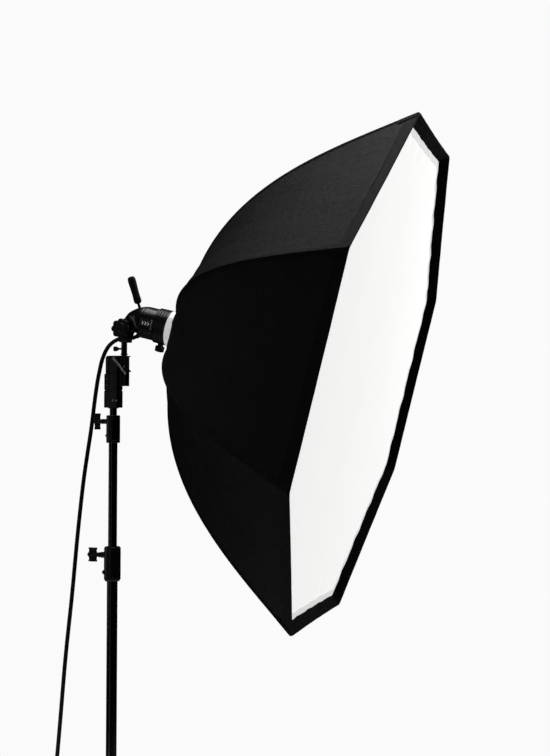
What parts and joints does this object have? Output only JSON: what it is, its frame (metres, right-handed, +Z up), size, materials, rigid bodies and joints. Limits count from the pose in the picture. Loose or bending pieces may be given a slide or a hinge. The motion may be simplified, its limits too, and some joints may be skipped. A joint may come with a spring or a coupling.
{
  "type": "studio softbox on a light stand",
  "caption": "Black octagonal studio softbox with a recessed white diffuser on a flash head, tilted down on a telescopic three-legged light stand with its cable.",
  "frame": {"origin": "centre of the bounding box's base at floor level, under the light's middle; the stand's column stands at x = -0.38 m", "axes": "+Z up along the column; +X the way the light faces, seen from above; +Y to the left of that"},
  "size_m": [1.595, 1.5, 2.5646],
  "materials": {
    "black_tube": "black anodised, satin",
    "black_casting": "cast, black painted, satin",
    "head_shell": "satin",
    "plate_alloy": "turned",
    "black_plastic": "fine grain",
    "rubber": "matt",
    "steel": "bright",
    "silver_ring": "polished",
    "black_fabric": "woven nylon, black outside and silver inside",
    "white_fabric": "translucent white",
    "tape": "woven tape",
    "rod": "glass-fibre rod",
    "reflector": "bright",
    "clear_glass": "clear",
    "lamp_glass": "frosted",
    "cable_rubber": "matt"
  },
  "bodies": {
    "stand_base": {"base_column": "black_tube", "base_end_cap": "rubber", "leg_collar": "black_casting", "leg_pins": "steel", "lower_lock_collar": "black_casting", "power_cable": "cable_rubber", "cable_coil": "cable_rubber", "pack_connector": "black_plastic"},
    "front_leg": {"leg_front": "black_tube", "foot_front": "rubber"},
    "left_leg": {"leg_left": "black_tube", "foot_left": "rubber"},
    "right_leg": {"leg_right": "black_tube", "foot_right": "rubber"},
    "front_brace": {"brace_front": "black_tube"},
    "left_brace": {"brace_left": "black_tube"},
    "right_brace": {"brace_right": "black_tube"},
    "lower_collar": {"brace_collar": "black_casting"},
    "lower_knob": {"lower_wing_knob": "black_plastic"},
    "middle_stage": {"mid_column": "black_tube", "upper_lock_collar": "black_casting"},
    "upper_knob": {"upper_wing_knob": "black_plastic"},
    "top_stage": {"top_column": "black_tube", "bracket_body": "black_casting", "bracket_socket": "black_casting", "bracket_plate": "black_casting", "bracket_screws": "steel"},
    "cam_lever": {"bracket_lever": "steel"},
    "safety_lever": {"clamp_lever": "black_casting"},
    "pan_mount": {"stem": "black_casting", "tilt_fork": "black_casting", "tilt_nut": "steel"},
    "stem_screw": {"stem_lock_knob": "black_plastic"},
    "tilt_lock": {"tilt_knob": "black_plastic"},
    "flash_head": {"rear_housing": "head_shell", "handle_stem": "black_plastic", "handle_grip": "rubber", "head_barrel": "black_casting", "reflector_dish": "reflector", "flash_tube": "lamp_glass", "modelling_lamp": "lamp_glass", "glass_dome": "clear_glass", "cable_gland": "rubber"},
    "ring_adapter": {"ribbed_collar": "black_casting", "adapter_ring": "silver_ring"},
    "ring_screw": {"adapter_clamp_knob": "black_plastic"},
    "softbox": {"speedring_plate": "plate_alloy", "rod_sockets": "plate_alloy", "rods": "rod", "rod_tips": "black_plastic", "outer_shell": "black_fabric", "seam_binding": "tape", "front_hem": "black_fabric", "back_collar": "black_fabric", "front_diffuser": "white_fabric", "inner_diffuser": "white_fabric", "baffle_straps": "tape"}
  },
  "joints": [
    {"name": "front_leg_fold", "type": "hinge", "parent": "stand_base", "child": "front_leg", "pos_m": [-0.342, 0, 0.575], "axis": [0, 1, 0], "range_deg": [0, 34]},
    {"name": "front_brace_fold", "type": "hinge", "parent": "front_leg", "child": "front_brace", "pos_m": [-0.17809, 0, 0.37966], "axis": [0, 1, 0], "range_deg": [-68, 0]},
    {"name": "left_leg_fold", "type": "hinge", "parent": "stand_base", "child": "left_leg", "pos_m": [-0.399, 0.03291, 0.575], "axis": [-0.866, -0.5, 0], "range_deg": [0, 34]},
    {"name": "left_brace_fold", "type": "hinge", "parent": "left_leg", "child": "left_brace", "pos_m": [-0.48096, 0.17486, 0.37966], "axis": [-0.866, -0.5, 0], "range_deg": [-68, 0]},
    {"name": "right_leg_fold", "type": "hinge", "parent": "stand_base", "child": "right_leg", "pos_m": [-0.399, -0.03291, 0.575], "axis": [0.866, -0.5, 0], "range_deg": [0, 34]},
    {"name": "right_brace_fold", "type": "hinge", "parent": "right_leg", "child": "right_brace", "pos_m": [-0.48096, -0.17486, 0.37966], "axis": [0.866, -0.5, 0], "range_deg": [-68, 0]},
    {"name": "brace_collar_slide", "type": "slide", "parent": "stand_base", "child": "lower_collar", "axis": [0, 0, 1], "range_m": [-0.11662, 0]},
    {"name": "lower_knob_turn", "type": "hinge", "parent": "stand_base", "child": "lower_knob", "pos_m": [-0.38, 0, 1.281], "axis": [1, 0, 0], "range_deg": [0, 180]},
    {"name": "mid_column_slide", "type": "slide", "parent": "stand_base", "child": "middle_stage", "axis": [0, 0, 1], "range_m": [-0.325, 0.45], "deforming": ["power_cable"]},
    {"name": "upper_knob_turn", "type": "hinge", "parent": "middle_stage", "child": "upper_knob", "pos_m": [-0.38, 0, 1.706], "axis": [1, 0, 0], "range_deg": [0, 180]},
    {"name": "top_column_slide", "type": "slide", "parent": "middle_stage", "child": "top_stage", "axis": [0, 0, 1], "range_m": [-0.02, 0.5]},
    {"name": "cam_lever_turn", "type": "hinge", "parent": "top_stage", "child": "cam_lever", "pos_m": [-0.37, 0, 1.905], "axis": [0, -1, 0], "range_deg": [0, 48]},
    {"name": "safety_lever_turn", "type": "hinge", "parent": "top_stage", "child": "safety_lever", "pos_m": [-0.337, 0, 1.88], "axis": [0, -1, 0], "range_deg": [0, 45]},
    {"name": "head_pan", "type": "hinge", "parent": "top_stage", "child": "pan_mount", "pos_m": [-0.344, 0, 1.9], "axis": [0, 0, 1], "range_deg": [-170, 170]},
    {"name": "stem_screw_turn", "type": "hinge", "parent": "pan_mount", "child": "stem_screw", "pos_m": [-0.38, 0, 1.938], "axis": [1, 0, 0], "range_deg": [0, 180]},
    {"name": "tilt_knob_turn", "type": "hinge", "parent": "pan_mount", "child": "tilt_lock", "pos_m": [-0.339, 0, 2], "axis": [0, 1, 0], "range_deg": [0, 180]},
    {"name": "head_tilt", "type": "hinge", "parent": "pan_mount", "child": "flash_head", "pos_m": [-0.339, 0, 2], "axis": [0, 1, 0], "range_deg": [-50, 20]},
    {"name": "adapter_slide", "type": "slide", "parent": "flash_head", "child": "ring_adapter", "axis": [0.9703, 0, -0.2419], "range_m": [-0.01, 0.025]},
    {"name": "adapter_screw_turn", "type": "hinge", "parent": "ring_adapter", "child": "ring_screw", "pos_m": [-0.22121, 0, 1.94696], "axis": [-0.2419, 0, -0.9703], "range_deg": [0, 180]},
    {"name": "softbox_roll", "type": "hinge", "parent": "ring_adapter", "child": "softbox", "pos_m": [-0.13975, 0, 1.98849], "axis": [0.9703, 0, -0.2419], "continuous": true}
  ],
  "couplings": [
    {"joint": "left_leg_fold", "follows": "front_leg_fold", "ratio": 1},
    {"joint": "right_leg_fold", "follows": "front_leg_fold", "ratio": 1},
    {"joint": "front_brace_fold", "follows": "front_leg_fold", "ratio": -2},
    {"joint": "left_brace_fold", "follows": "front_leg_fold", "ratio": -2},
    {"joint": "right_brace_fold", "follows": "front_leg_fold", "ratio": -2},
    {"joint": "brace_collar_slide", "follows": "front_leg_fold", "m_per_rad": -0.19636}
  ]
}
